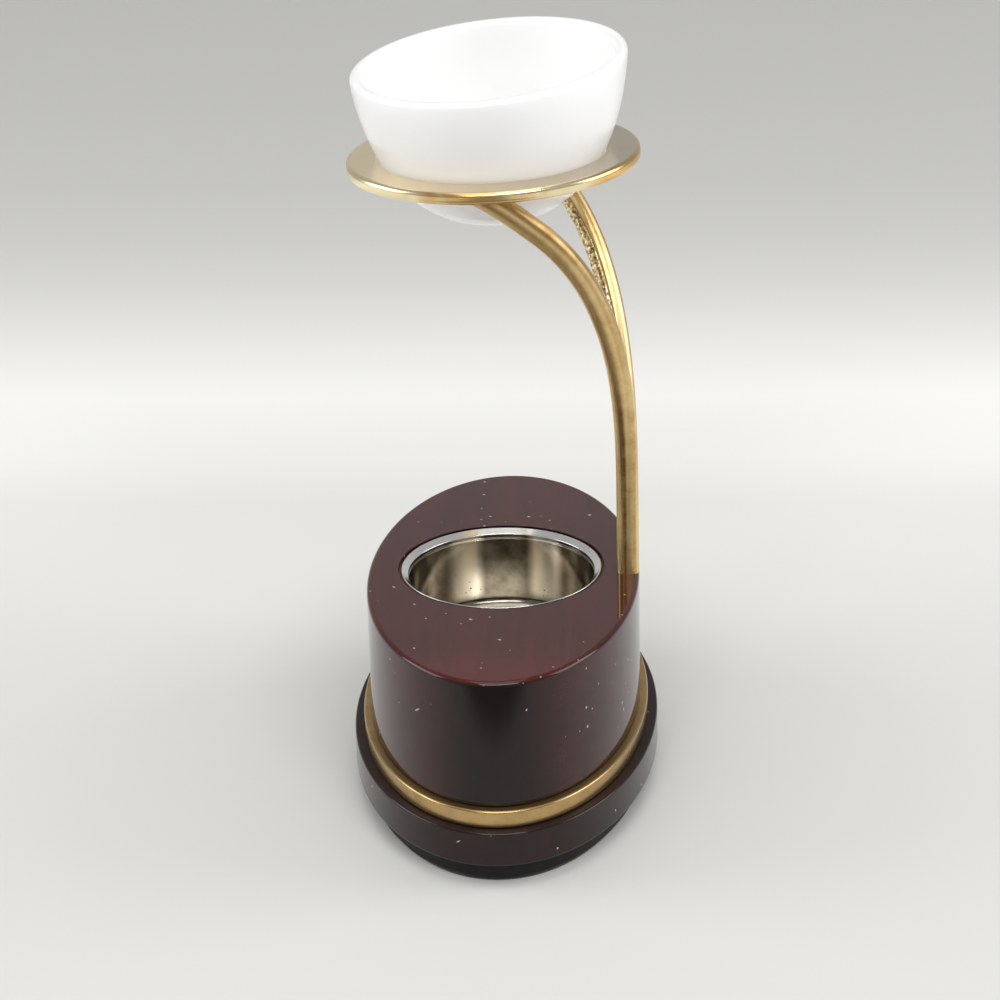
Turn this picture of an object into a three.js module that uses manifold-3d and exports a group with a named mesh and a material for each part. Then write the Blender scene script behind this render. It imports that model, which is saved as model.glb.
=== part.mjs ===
// Essential oil burner: an oval lacquered block with a tealight cup let into it, and a forked brass stem at its edge
// that carries a ring with a loose bowl. Z is up, X runs towards the stem, Y runs along the oval, and the origin is
// the middle of the underside.

import * as THREE from 'three';
import { mergeVertices } from 'three/addons/utils/BufferGeometryUtils.js';
import Module from 'manifold-3d';

// Driving dimensions, in millimetres and degrees.

// Tealight cup, with a bore that takes a standard tealight; it lies a little behind the middle of the block and
// away from the stem, with its rim just below the block's top
const CUP_BORE = 41;
const CUP_DEPTH = 18.6;
const CUP_WALL = 0.7;
const CUP_CORNER = 3;
const CUP_RIM_WIDTH = 1.6;
const CUP_RIM_DROP = 0.15;
const CUP_RIM_SUNK = 1;
const CUP_RIM_LAND = 0.3;
const CUP_RIM_FLARE = 1;
const CUP_RIM_GAP = 0.7;
const CUP_BACK = 2.7;
const CUP_ASIDE = 0.6;

// Oval block, sized by the wood left beside and beyond the cup
const BLOCK_SIDE = 9.4;
const BLOCK_END = 36.1;
const BLOCK_HEIGHT = 28.6;
const BLOCK_EDGE = 0.5;

// Brass band under the block's shoulder
const BAND_HEIGHT = 4;
const BAND_LEDGE = 1.7;
const BAND_GRIP = 4;
const BAND_EDGE = 0.5;

// Plinth, foot board and felt
const PLINTH_HEIGHT = 7.7;
const PLINTH_STEP = 2.1;
const PLINTH_EDGE = 0.7;
const FOOT_HEIGHT = 4;
const FOOT_INSET = 2.5;
const FOOT_EDGE = 0.4;
const FELT_HEIGHT = 1.2;
const FELT_INSET = 1;

// Wood screws that hold the base together from below
const SCREW_DIAMETER = 3.6;
const SCREW_HEAD_DIAMETER = 7.4;
const SCREW_HEAD_RIM = 0.5;
const SCREW_BITE = 14;
const SCREW_POINT = 4;

// Forked stem
const STEM_DIAMETER = 4.85;
const STEM_MARGIN = 0.05;
const STEM_STRAIGHT = 12.6;
const SPIGOT_DIAMETER = 2.8;
const SPIGOT_LENGTH = 18;
const ARM_LIFT = 29.5;
const ARM_SHOULDER_DROP = 11;
const ARM_SHOULDER_OUT = 0.6;
const ARM_SHOULDER_IN = 1.5;
const ARM_END_PAST = 3;
const ARM_OVERLAP = 0.05;

// Ring at the top of the fork, drooping away from the stem
const RING_TOP = 141.1;
const RING_WIDTH = 6.8;
const RING_THICKNESS = 2.7;
const RING_EDGE = 0.5;
const RING_DROOP = 2.1;

// Bowl: a ball-shaped lower part that seats in the ring, a wall that curves up more gently from the seat, and a rim
// that rises on a slant towards the stem and the rear
const BOWL_BALL_RADIUS = 26.3;
const BOWL_SEAT_ANGLE = 64.5;
const BOWL_WALL_RADIUS = 53;
const BOWL_RIM_HEIGHT = 19.6;
const BOWL_THICKNESS = 2.5;
const BOWL_FOOT_DIAMETER = 13;
const BOWL_SLANT_SIDE = 5.2;
const BOWL_SLANT_REAR = 3.5;

// Clearances between pieces, and how far a drill is drawn past a face
const FIT_GAP = 0.3;
const SEAT_GAP = 0.3;
const DRILL_OVERRUN = 1;

// Fineness of round shapes
const OVAL_STEPS = 34;
const ROUND_STEPS = 48;
const BOLT_STEPS = 16;
const EDGE_STEPS = 2;
const RING_ARC_STEPS = 1;
const CUP_ARC_STEPS = 2;
const BOWL_ARC_STEPS = 3;
const BAR_STEPS = 7;
const SWEEP_STEPS = 38;
const WELD_TOLERANCE = 1e-4;

// Sizes that follow from the driving dimensions.
const cupRadius = CUP_BORE / 2;
const cupOuterRadius = cupRadius + CUP_WALL;
const cupRimRadius = cupRadius + CUP_RIM_WIDTH;

const blockOval = [cupRadius + BLOCK_SIDE, cupRadius + BLOCK_END];
const bandOval = grown(blockOval, BAND_LEDGE);
const bandBoreOval = grown(blockOval, -BAND_GRIP);
const bossOval = grown(bandBoreOval, -FIT_GAP);
const plinthOval = grown(bandOval, PLINTH_STEP);
const footOval = grown(plinthOval, -FOOT_INSET);
const feltOval = grown(footOval, -FELT_INSET);

const footBottom = FELT_HEIGHT;
const plinthBottom = footBottom + FOOT_HEIGHT;
const bandBottom = plinthBottom + PLINTH_HEIGHT;
const blockBottom = bandBottom + BAND_HEIGHT;
const blockTop = blockBottom + BLOCK_HEIGHT;

const cupRimTop = blockTop - CUP_RIM_DROP;
const cupRimBottom = blockTop - CUP_RIM_SUNK;
const cupFloor = cupRimTop - CUP_DEPTH;
const cupUnderside = cupFloor - CUP_WALL;
const drillTop = blockTop + DRILL_OVERRUN;

const screwY = (cupRimRadius + blockOval[1]) / 2;
const screwHeadBottom = footBottom + SEAT_GAP;
const screwTip = bandBottom + SCREW_BITE;

const stemRadius = STEM_DIAMETER / 2;
const stemX = blockOval[0] - STEM_MARGIN - stemRadius;
const spigotRadius = SPIGOT_DIAMETER / 2;
const spigotBottom = blockTop - SPIGOT_LENGTH;

const seatAngle = THREE.MathUtils.degToRad(BOWL_SEAT_ANGLE);
const seatReach = BOWL_BALL_RADIUS + SEAT_GAP + RING_EDGE;
const ringInnerRadius = seatReach * Math.sin(seatAngle) - RING_EDGE;
const ringOuterRadius = ringInnerRadius + RING_WIDTH;
const ringMiddleRadius = (ringInnerRadius + ringOuterRadius) / 2;
const ballRise = seatReach * Math.cos(seatAngle) - RING_EDGE;

const wasm = await Module();
wasm.setup();

// Helpers

// An oval's half axes with a margin added all round
function grown([halfWidth, halfLength], margin) {
  return [halfWidth + margin, halfLength + margin];
}

// A geometry with its positions only, its shared corners merged and its collapsed triangles left out
function weld(geometry) {
  const bare = new THREE.BufferGeometry();
  bare.setAttribute('position', geometry.getAttribute('position'));
  bare.setIndex(geometry.getIndex());
  const merged = mergeVertices(bare, WELD_TOLERANCE);
  const corners = merged.getIndex().array;
  const kept = [];
  for (let i = 0; i < corners.length; i += 3) {
    const [a, b, c] = corners.slice(i, i + 3);
    if (a !== b && b !== c && c !== a) kept.push(a, b, c);
  }
  merged.setIndex(kept);
  return merged;
}

// A closed geometry as a solid that can be joined and cut
function solidOf(geometry) {
  const welded = weld(geometry);
  const vertProperties = new Float32Array(welded.getAttribute('position').array);
  const triVerts = new Uint32Array(welded.getIndex().array);
  return new wasm.Manifold(new wasm.Mesh({ numProp: 3, vertProperties, triVerts }));
}

// A joined or cut solid as a geometry again
function geometryOf(solid) {
  const { vertProperties, triVerts } = solid.getMesh();
  const geometry = new THREE.BufferGeometry();
  geometry.setAttribute('position', new THREE.BufferAttribute(vertProperties, 3));
  geometry.setIndex(new THREE.BufferAttribute(triVerts, 1));
  return geometry;
}

function ovalShape([halfWidth, halfLength]) {
  return new THREE.Shape().absellipse(0, 0, halfWidth, halfLength, 0, Math.PI * 2);
}

// A flat slab of the given outline from one height to another, with its edges rounded
function slab(outline, bottom, top, edge) {
  const geometry = new THREE.ExtrudeGeometry(outline, {
    depth: top - bottom - 2 * edge,
    curveSegments: OVAL_STEPS,
    bevelEnabled: edge > 0,
    bevelSize: edge,
    bevelOffset: -edge,
    bevelThickness: edge,
    bevelSegments: EDGE_STEPS,
  });
  return geometry.translate(0, 0, bottom + edge);
}

// A profile of radius against height, turned about the Z axis
function turned(profile, roundSteps, arcSteps = 1) {
  return new THREE.LatheGeometry(profile.getPoints(arcSteps), roundSteps).rotateX(Math.PI / 2);
}

// An upright round bar from one height to another
function bar(radius, bottom, top, x) {
  const height = top - bottom;
  const geometry = new THREE.CylinderGeometry(radius, radius, height, BOLT_STEPS).rotateX(Math.PI / 2);
  return geometry.translate(x, 0, bottom + height / 2);
}

function piece(name, geometry, color, roughness, metalness) {
  const mesh = new THREE.Mesh(weld(geometry), new THREE.MeshStandardMaterial({ color, roughness, metalness }));
  mesh.geometry.computeVertexNormals();
  mesh.name = name;
  return mesh;
}

const burner = new THREE.Group();

// Wood screws: countersunk head below, straight shank and a point above. The same outline, grown by a clearance and
// open below, is the hole that they pass through.
function screwGeometry(clearance, bottom) {
  const shank = SCREW_DIAMETER / 2 + clearance;
  const head = SCREW_HEAD_DIAMETER / 2 + clearance;
  const coneStart = screwHeadBottom + SCREW_HEAD_RIM + clearance;
  const profile = new THREE.Path()
    .moveTo(0, bottom)
    .lineTo(head, bottom)
    .lineTo(head, coneStart)
    .lineTo(shank, coneStart + head - shank)
    .lineTo(shank, screwTip - SCREW_POINT)
    .lineTo(0, screwTip + clearance);
  return turned(profile, BOLT_STEPS);
}

const screwPlaces = { base_screw_front: -screwY, base_screw_rear: screwY };
for (const [name, y] of Object.entries(screwPlaces)) {
  const screw = piece(name, screwGeometry(0, screwHeadBottom), 0xb9b39a, 0.4, 1);
  screw.position.y = y;
  burner.add(screw);
}

function drilledForScrews(solid) {
  const hole = (y) => solidOf(screwGeometry(FIT_GAP, footBottom - FIT_GAP).translate(0, y, 0));
  return Object.values(screwPlaces).reduce((drilled, y) => drilled.subtract(hole(y)), solid);
}

// Felt pad under the foot board, over the screw heads
const feltPad = slab(ovalShape(feltOval), 0, FELT_HEIGHT, 0);
burner.add(piece('felt_pad', feltPad, 0x1a1a1c, 1, 0));

// Foot board, inset so that the plinth seems to float
const footBoard = drilledForScrews(solidOf(slab(ovalShape(footOval), footBottom, plinthBottom, FOOT_EDGE)));
burner.add(piece('foot_board', geometryOf(footBoard), 0x17110f, 0.5, 0));

// Plinth with rounded edges
const plinth = drilledForScrews(solidOf(slab(ovalShape(plinthOval), plinthBottom, bandBottom, PLINTH_EDGE)));
burner.add(piece('plinth', geometryOf(plinth), 0x3a201d, 0.15, 0));

// Brass band, trapped between the block's shoulder and the plinth
const bandOutline = ovalShape(bandOval);
bandOutline.holes.push(ovalShape(bandBoreOval));
const brassBand = slab(bandOutline, bandBottom, blockBottom, BAND_EDGE);
burner.add(piece('brass_band', brassBand, 0xc9a661, 0.3, 1));

// Block: the oval body, its boss through the band, a stepped bore that holds the cup by its rim, and the blind hole
// for the stem's spigot
const cupHole = new THREE.Path()
  .moveTo(0, cupUnderside - FIT_GAP)
  .lineTo(cupOuterRadius + FIT_GAP, cupUnderside - FIT_GAP)
  .lineTo(cupOuterRadius + FIT_GAP, cupRimBottom)
  .lineTo(cupRimRadius + CUP_RIM_GAP, cupRimBottom)
  .lineTo(cupRimRadius + CUP_RIM_GAP, drillTop)
  .lineTo(0, drillTop);
const blockBody = solidOf(slab(ovalShape(blockOval), blockBottom, blockTop, BLOCK_EDGE));
const boss = solidOf(slab(ovalShape(bossOval), bandBottom, blockBottom + BLOCK_EDGE, 0));
const spigotHole = solidOf(bar(spigotRadius + FIT_GAP, spigotBottom - FIT_GAP, drillTop, stemX));
const block = drilledForScrews(blockBody.add(boss))
  .subtract(solidOf(turned(cupHole, ROUND_STEPS).translate(-CUP_ASIDE, CUP_BACK, 0)))
  .subtract(spigotHole);
burner.add(piece('block', geometryOf(block), 0x4a2a26, 0.1, 0));

// Tealight cup: drawn cup with a rounded corner and a rim that flares inside
const innerCorner = CUP_CORNER - CUP_WALL;
const cupProfile = new THREE.Path()
  .moveTo(0, cupUnderside)
  .lineTo(cupOuterRadius - CUP_CORNER, cupUnderside)
  .absarc(cupOuterRadius - CUP_CORNER, cupUnderside + CUP_CORNER, CUP_CORNER, -Math.PI / 2, 0)
  .lineTo(cupOuterRadius, cupRimBottom)
  .lineTo(cupRimRadius, cupRimBottom)
  .lineTo(cupRimRadius, cupRimTop)
  .lineTo(cupRimRadius - CUP_RIM_LAND, cupRimTop)
  .lineTo(cupRadius, cupRimTop - CUP_RIM_FLARE)
  .lineTo(cupRadius, cupFloor + innerCorner)
  .absarc(cupRadius - innerCorner, cupFloor + innerCorner, innerCorner, 0, -Math.PI / 2, true)
  .lineTo(0, cupFloor);
const cup = turned(cupProfile, ROUND_STEPS, CUP_ARC_STEPS).translate(-CUP_ASIDE, CUP_BACK, 0);
burner.add(piece('tealight_cup', cup, 0xd8d4c8, 0.15, 1));

// The ring's own frame: its top face is the plane z = 0
const ringFrame = new THREE.Group();
ringFrame.position.z = RING_TOP;
ringFrame.rotation.y = THREE.MathUtils.degToRad(-RING_DROOP);
ringFrame.updateMatrix();
burner.add(ringFrame);

// Flat ring with rounded edges
const ringProfile = new THREE.Path()
  .moveTo(ringInnerRadius + RING_EDGE, -RING_THICKNESS)
  .lineTo(ringOuterRadius - RING_EDGE, -RING_THICKNESS)
  .absarc(ringOuterRadius - RING_EDGE, RING_EDGE - RING_THICKNESS, RING_EDGE, -Math.PI / 2, 0)
  .absarc(ringOuterRadius - RING_EDGE, -RING_EDGE, RING_EDGE, 0, Math.PI / 2)
  .absarc(ringInnerRadius + RING_EDGE, -RING_EDGE, RING_EDGE, Math.PI / 2, Math.PI)
  .absarc(ringInnerRadius + RING_EDGE, RING_EDGE - RING_THICKNESS, RING_EDGE, Math.PI, Math.PI * 1.5);
ringFrame.add(piece('bowl_ring', turned(ringProfile, ROUND_STEPS, RING_ARC_STEPS), 0xc9a661, 0.3, 1));

// Forked stem: a round bar swept up from the block, forwards and inwards to the front of the ring. The half of it
// in front of the mid-plane and its mirror image make the fork, one bar at the foot and two above. The halves reach
// past the mid-plane by a hair, so that they always join.
const ringUnderside = RING_TOP - RING_THICKNESS;
const stemFoot = new THREE.Vector3(stemX, 0, blockTop);
const split = new THREE.Vector3(stemX, 0, blockTop + STEM_STRAIGHT);
const lift = new THREE.Vector3(stemX, 0, split.z + ARM_LIFT);
const shoulder = new THREE.Vector3(
  stemX + ARM_SHOULDER_OUT,
  ARM_SHOULDER_IN - ringMiddleRadius,
  ringUnderside - ARM_SHOULDER_DROP,
);
const armEnd = new THREE.Vector3(-ARM_END_PAST, -ringMiddleRadius, ringUnderside);
const pastEnd = armEnd.clone().add(armEnd.clone().sub(shoulder).setLength(STEM_DIAMETER * 2));
const armPath = new THREE.CurvePath();
armPath.add(new THREE.LineCurve3(stemFoot, split));
armPath.add(new THREE.CubicBezierCurve3(split, lift, shoulder, armEnd));
armPath.add(new THREE.LineCurve3(armEnd, pastEnd));

const armSection = new THREE.Shape().absarc(0, 0, stemRadius, 0, Math.PI * 2);
const armSweep = new THREE.ExtrudeGeometry(armSection, {
  steps: SWEEP_STEPS,
  curveSegments: BAR_STEPS,
  extrudePath: armPath,
});

// Everything behind the mid-plane, and everything above the solder line under the ring
const cutSize = RING_TOP * 2;
const rearHalf = new THREE.BoxGeometry(cutSize, cutSize, cutSize).translate(0, cutSize / 2 + ARM_OVERLAP, RING_TOP);
const aboveSolder = new THREE.BoxGeometry(cutSize, cutSize, cutSize)
  .translate(0, 0, cutSize / 2 - RING_THICKNESS - SEAT_GAP)
  .applyMatrix4(ringFrame.matrix);
const frontArm = solidOf(armSweep).subtract(solidOf(rearHalf)).subtract(solidOf(aboveSolder));
const rearArm = frontArm.mirror([0, 1, 0]);
const spigot = solidOf(bar(spigotRadius, spigotBottom, blockTop + stemRadius, stemX));
const stemFork = frontArm.add(rearArm).add(spigot);
burner.add(piece('stem_fork', geometryOf(stemFork), 0xb8935a, 0.35, 1));

// Bowl, in its own frame at the middle of the ball: it stands level in the drooping ring, like a ball in its seat
const lipRound = BOWL_THICKNESS / 2;
const bowlFootRadius = BOWL_FOOT_DIAMETER / 2;
const footAngle = -Math.acos(bowlFootRadius / BOWL_BALL_RADIUS);
const wallStart = seatAngle - Math.PI / 2;
const wallOffset = BOWL_WALL_RADIUS - BOWL_BALL_RADIUS;
const wallCentre = new THREE.Vector2(-wallOffset * Math.sin(seatAngle), wallOffset * Math.cos(seatAngle));
const lipZ = BOWL_RIM_HEIGHT - ballRise - lipRound;
const lipReach = BOWL_WALL_RADIUS - lipRound;
const wallEnd = Math.asin((lipZ - wallCentre.y) / lipReach);
const lipRadius = wallCentre.x + lipReach * Math.cos(wallEnd);
const innerBall = BOWL_BALL_RADIUS - BOWL_THICKNESS;
const innerWall = BOWL_WALL_RADIUS - BOWL_THICKNESS;
const bowlFootZ = BOWL_BALL_RADIUS * Math.sin(footAngle);
const bowlFloorZ = bowlFootZ + BOWL_THICKNESS;
const floorAngle = Math.asin(bowlFloorZ / innerBall);
const bowlProfile = new THREE.Path()
  .moveTo(0, bowlFootZ)
  .lineTo(bowlFootRadius, bowlFootZ)
  .absarc(0, 0, BOWL_BALL_RADIUS, footAngle, wallStart)
  .absarc(wallCentre.x, wallCentre.y, BOWL_WALL_RADIUS, wallStart, wallEnd)
  .absarc(lipRadius, lipZ, lipRound, wallEnd, wallEnd + Math.PI)
  .absarc(wallCentre.x, wallCentre.y, innerWall, wallEnd, wallStart, true)
  .absarc(0, 0, innerBall, wallStart, floorAngle, true)
  .lineTo(0, bowlFloorZ);

// The wall is drawn up with the square of its height above the ring, so that the seat stays round
const bowlGeometry = turned(bowlProfile, ROUND_STEPS, BOWL_ARC_STEPS);
const bowlPoints = bowlGeometry.getAttribute('position');
const slantX = Math.tan(THREE.MathUtils.degToRad(BOWL_SLANT_SIDE));
const slantY = Math.tan(THREE.MathUtils.degToRad(BOWL_SLANT_REAR));
for (let i = 0; i < bowlPoints.count; i += 1) {
  const z = bowlPoints.getZ(i);
  const share = Math.max(z + ballRise, 0) / BOWL_RIM_HEIGHT;
  const rise = slantX * bowlPoints.getX(i) + slantY * bowlPoints.getY(i);
  bowlPoints.setZ(i, z + rise * share ** 2);
}
const oilBowl = piece('oil_bowl', bowlGeometry, 0xf4f4f2, 0.1, 0);
oilBowl.position.set(0, 0, ballRise).applyMatrix4(ringFrame.matrix);
burner.add(oilBowl);

export default burner;
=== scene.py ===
import bmesh
import bpy
import math
from mathutils import Matrix, Vector, noise


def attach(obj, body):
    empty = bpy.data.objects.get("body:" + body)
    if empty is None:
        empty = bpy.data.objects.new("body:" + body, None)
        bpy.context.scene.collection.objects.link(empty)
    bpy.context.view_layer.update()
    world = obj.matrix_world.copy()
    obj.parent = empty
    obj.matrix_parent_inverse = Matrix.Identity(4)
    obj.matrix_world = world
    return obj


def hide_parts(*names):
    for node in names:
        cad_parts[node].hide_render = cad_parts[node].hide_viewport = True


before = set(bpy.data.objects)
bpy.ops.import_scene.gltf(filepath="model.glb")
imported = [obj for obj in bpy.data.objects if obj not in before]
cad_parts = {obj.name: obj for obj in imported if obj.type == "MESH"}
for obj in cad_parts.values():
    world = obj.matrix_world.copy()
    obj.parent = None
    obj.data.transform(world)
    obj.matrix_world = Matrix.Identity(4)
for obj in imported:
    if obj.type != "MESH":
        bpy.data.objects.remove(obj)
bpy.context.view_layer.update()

# Felt pad
# A thin oval of black wool felt, cut by hand and glued under the foot board, over the two screw heads.
# The burner stands on it, so its edge is pressed soft and its face is matted.
MM = 0.001
OVAL_POINTS = 320
EDGE_STEPS = 6
EDGE_HOLD = 0.06
FELT_HALF_WIDTH = 30.2
FELT_HALF_LENGTH = 56.9
FELT_TOP = 1.2
FELT_EDGE = 0.45
FELT_BLACK = (0.012, 0.011, 0.011, 1)
FELT_GREY = (0.035, 0.033, 0.032, 1)


class Wire:
    """A socket of a material's node tree, used in plain Python expressions."""

    def __init__(self, tree, socket):
        self.tree = tree
        self.socket = socket

    def node(self, kind, settings=None, inputs=None, output=0):
        """A node of any kind: its settings are set first, then its sockets get values or wires."""
        made = self.tree.nodes.new(kind)
        for name, value in (settings or {}).items():
            if name == "stops":
                ramp = made.color_ramp
                while len(ramp.elements) < len(value):
                    ramp.elements.new(1)
                for element, (position, colour) in zip(ramp.elements, value):
                    element.position = position
                    element.color = colour
            else:
                setattr(made, name, value)
        for name, value in (inputs or {}).items():
            if isinstance(value, Wire):
                self.tree.links.new(value.socket, made.inputs[name])
            else:
                made.inputs[name].default_value = value
        return Wire(self.tree, made.outputs[output])

    def maths(self, operation, first, second):
        """One Math node on two values or wires."""
        return self.node("ShaderNodeMath", {"operation": operation}, {0: first, 1: second})

    def __add__(self, other):
        return self.maths("ADD", self, other)

    def __radd__(self, other):
        return self.maths("ADD", other, self)

    def __sub__(self, other):
        return self.maths("SUBTRACT", self, other)

    def __rsub__(self, other):
        return self.maths("SUBTRACT", other, self)

    def __mul__(self, other):
        return self.maths("MULTIPLY", self, other)

    def __rmul__(self, other):
        return self.maths("MULTIPLY", other, self)

    def __truediv__(self, other):
        return self.maths("DIVIDE", self, other)

    def __rtruediv__(self, other):
        return self.maths("DIVIDE", other, self)

    def __pow__(self, other):
        return self.maths("POWER", self, other)

    def __abs__(self):
        return self.node("ShaderNodeMath", {"operation": "ABSOLUTE"}, {0: self})

    def between(self, low, high):
        """0 below low and 1 above high, eased in between."""
        settings = {"interpolation_type": "SMOOTHSTEP"}
        return self.node("ShaderNodeMapRange", settings, {"Value": self, "From Min": low, "From Max": high})

    def mixed(self, dark, light):
        """A colour that goes from dark to light as this value goes from 0 to 1."""
        return self.node("ShaderNodeMix", {"data_type": "RGBA"}, {0: self, 6: dark, 7: light}, 2)

    def axis(self, index):
        """One axis of these coordinates: 0 for X, 1 for Y, 2 for Z."""
        return self.node("ShaderNodeSeparateXYZ", None, {0: self}, index)

    def facing(self, index):
        """How far the surface faces along one axis, from -1 to 1."""
        return self.node("ShaderNodeNewGeometry", None, None, 1).axis(index)

    def stored(self, name):
        """A value kept at the points of the mesh."""
        return self.node("ShaderNodeAttribute", {"attribute_name": name}, None, 2)

    def stretched(self, factors):
        """Coordinates multiplied axis by axis."""
        return self.node("ShaderNodeVectorMath", {"operation": "MULTIPLY"}, {0: self, 1: factors})

    def clouds(self, scale, detail=3.0, roughness=0.5):
        """Soft noise between about 0.3 and 0.7, at a scale in features a metre."""
        inputs = {"Vector": self, "Scale": scale, "Detail": detail, "Roughness": roughness}
        return self.node("ShaderNodeTexNoise", None, inputs)

    def bump(self, strength, depth):
        """A normal from this height, with depth in metres."""
        return self.node("ShaderNodeBump", None, {"Strength": strength, "Distance": depth, "Height": self})


def new_finish(name, fixed):
    """A Principled material with its even values set: the material, its shader and the object coordinates."""
    material = bpy.data.materials.new(name)
    material.use_nodes = True
    tree = material.node_tree
    shader = tree.nodes["Principled BSDF"]
    for socket, value in fixed.items():
        shader.inputs[socket].default_value = value
    place = Wire(tree, tree.nodes.new("ShaderNodeTexCoord").outputs["Object"])
    return material, shader, place


def feed(shader, varying):
    """Links what varies over the surface to the shader's sockets."""
    for socket, wire in varying.items():
        wire.tree.links.new(wire.socket, shader.inputs[socket])


def oval_row(half_width, half_length, inset, height, middle=(0, 0)):
    """Points round an oval, moved in along its normals by inset; sizes in millimetres, points in metres."""
    row = []
    for step in range(OVAL_POINTS):
        turn = 2 * math.pi * step / OVAL_POINTS
        cosine, sine = math.cos(turn), math.sin(turn)
        normal = Vector((cosine / half_width, sine / half_length)).normalized()
        x = middle[0] + half_width * cosine - inset * normal.x
        y = middle[1] + half_length * sine - inset * normal.y
        row.append((x * MM, y * MM, height * MM))
    return row


def rounded(corners, closed=False):
    """A section line through corners (u, height, radius), with a short arc at each corner that has a radius
    and a point close to each end of the arc, so that flats stay flat when they are shaded."""
    line = []
    last = len(corners) - 1
    for index, (u, height, radius) in enumerate(corners):
        corner = Vector((u, height))
        if radius == 0 or (not closed and index in (0, last)):
            line.append(corner)
            continue
        back = (Vector(corners[index - 1][:2]) - corner).normalized()
        ahead = (Vector(corners[(index + 1) % len(corners)][:2]) - corner).normalized()
        half = back.angle(ahead) / 2
        start = corner + back * radius / math.tan(half)
        end = corner + ahead * radius / math.tan(half)
        centre = corner + (back + ahead).normalized() * radius / math.sin(half)
        first = math.atan2(start.y - centre.y, start.x - centre.x)
        final = math.atan2(end.y - centre.y, end.x - centre.x)
        sweep = (final - first + math.pi) % (2 * math.pi) - math.pi
        line.append(start + back * EDGE_HOLD)
        for step in range(EDGE_STEPS + 1):
            turn = first + sweep * step / EDGE_STEPS
            line.append(centre + radius * Vector((math.cos(turn), math.sin(turn))))
        line.append(end + ahead * EDGE_HOLD)
    return line


def loft(name, rows, ring=False):
    """A smooth-shaded mesh over rows of points; a row of one point is a closed end."""
    starts = []
    points = []
    for row in rows:
        starts.append(len(points))
        points.extend(row)
    pairs = list(zip(range(len(rows) - 1), range(1, len(rows))))
    if ring:
        pairs.append((len(rows) - 1, 0))
    faces = []
    for low, high in pairs:
        count = max(len(rows[low]), len(rows[high]))
        for j in range(count):
            k = (j + 1) % count
            if len(rows[low]) == 1:
                faces.append((starts[low], starts[high] + k, starts[high] + j))
            elif len(rows[high]) == 1:
                faces.append((starts[low] + j, starts[low] + k, starts[high]))
            else:
                faces.append((starts[low] + j, starts[low] + k, starts[high] + k, starts[high] + j))
    mesh = bpy.data.meshes.new(name)
    mesh.from_pydata(points, [], faces)
    mesh.shade_smooth()
    piece = bpy.data.objects.new(name, mesh)
    bpy.context.scene.collection.objects.link(piece)
    return piece


def oval_plate(name, half_width, half_length, bottom, top, edge):
    """A solid oval board with both edges rounded."""
    middle = half_width * 0.5
    corners = [(middle, bottom, 0), (0, bottom, edge), (0, top, edge), (middle, top, 0)]
    rows = [[(0, 0, bottom * MM)]]
    rows += [oval_row(half_width, half_length, u, height) for u, height in rounded(corners)]
    rows.append([(0, 0, top * MM)])
    return loft(name, rows)


felt = oval_plate("felt_sheet", FELT_HALF_WIDTH, FELT_HALF_LENGTH, 0, FELT_TOP, FELT_EDGE)
felt_finish, felt_shader, felt_place = new_finish("black_wool_felt", {
    "Specular IOR Level": 0.2,
    "Sheen Weight": 0.4,
})
felt_fibres = felt_place.stretched((1, 1, 2.5)).clouds(5200, 5, 0.7)
felt_mats = felt_place.clouds(420)
felt_tone = (felt_fibres * 0.7 + felt_mats * 0.5).between(0.4, 0.8)
feed(felt_shader, {
    "Base Color": felt_tone.mixed(FELT_BLACK, FELT_GREY),
    "Roughness": 0.82 + felt_mats * 0.2,
    "Normal": felt_fibres.bump(0.8, 0.0003),
})
felt.data.materials.append(felt_finish)
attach(felt, "base")
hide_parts("felt_pad")

# Foot board
# An inset oval board under the plinth, hardwood stained black and left dull, sawn and sanded by hand.
# Two countersunk screws go up through it, and the felt is glued to its underside.
FOOT_HALF_WIDTH = 31.2
FOOT_HALF_LENGTH = 57.9
FOOT_BOTTOM = 1.2
FOOT_TOP = 5.2
FOOT_EDGE = 0.4
FOOT_BLACK = (0.002, 0.0018, 0.0018, 1)
FOOT_BROWN = (0.006, 0.004, 0.0035, 1)

foot = oval_plate("foot_oval", FOOT_HALF_WIDTH, FOOT_HALF_LENGTH, FOOT_BOTTOM, FOOT_TOP, FOOT_EDGE)
foot_finish, foot_shader, foot_place = new_finish("black_stained_board", {"IOR": 1.36})
foot_grain = foot_place.stretched((900, 45, 900)).clouds(1, 5, 0.6)
foot_rubbed = foot_place.clouds(260, 4)
feed(foot_shader, {
    "Base Color": foot_grain.between(0.4, 0.7).mixed(FOOT_BLACK, FOOT_BROWN),
    "Roughness": 0.38 + foot_rubbed * 0.3,
    "Normal": foot_grain.bump(0.25, 0.0001),
})
foot.data.materials.append(foot_finish)
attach(foot, "base")
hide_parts("foot_board")

# Plinth
# The wider oval board that carries the band and the block, mahogany stained dark under gloss lacquer.
# Its edges are routed round and flatted by hand, and its top is rubbed duller than its sides.
PLINTH_HALF_WIDTH = 33.7
PLINTH_HALF_LENGTH = 60.4
PLINTH_BOTTOM = 5.2
PLINTH_TOP = 12.9
PLINTH_EDGE = 0.45
PLINTH_DARK = (0.005, 0.0015, 0.0015, 1)
PLINTH_RED = (0.02, 0.004, 0.004, 1)
DUST = (0.4, 0.36, 0.35, 1)
DUST_ROUGH = 0.4
SPECK_CELLS = 190.0
SPECK_SIZE = 0.1
SPECK_SHARE = 0.5
HAIR_TURN = (0.5, 0.3, 0.8)
HAIR_CELLS = (45, 380, 380)
HAIR_SIZE = 0.13
HAIR_SHARE = 0.9
FIGURE_CELLS = (170, 14, 170)
STREAK_CELLS = (900, 40, 900)
PORE_CELLS = (2600, 160, 2600)
LACQUER_IOR = 1.43
PLINTH_GLOSS = 0.14
PLINTH_LEDGE_FACING = (0.8, 0.98)
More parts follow.
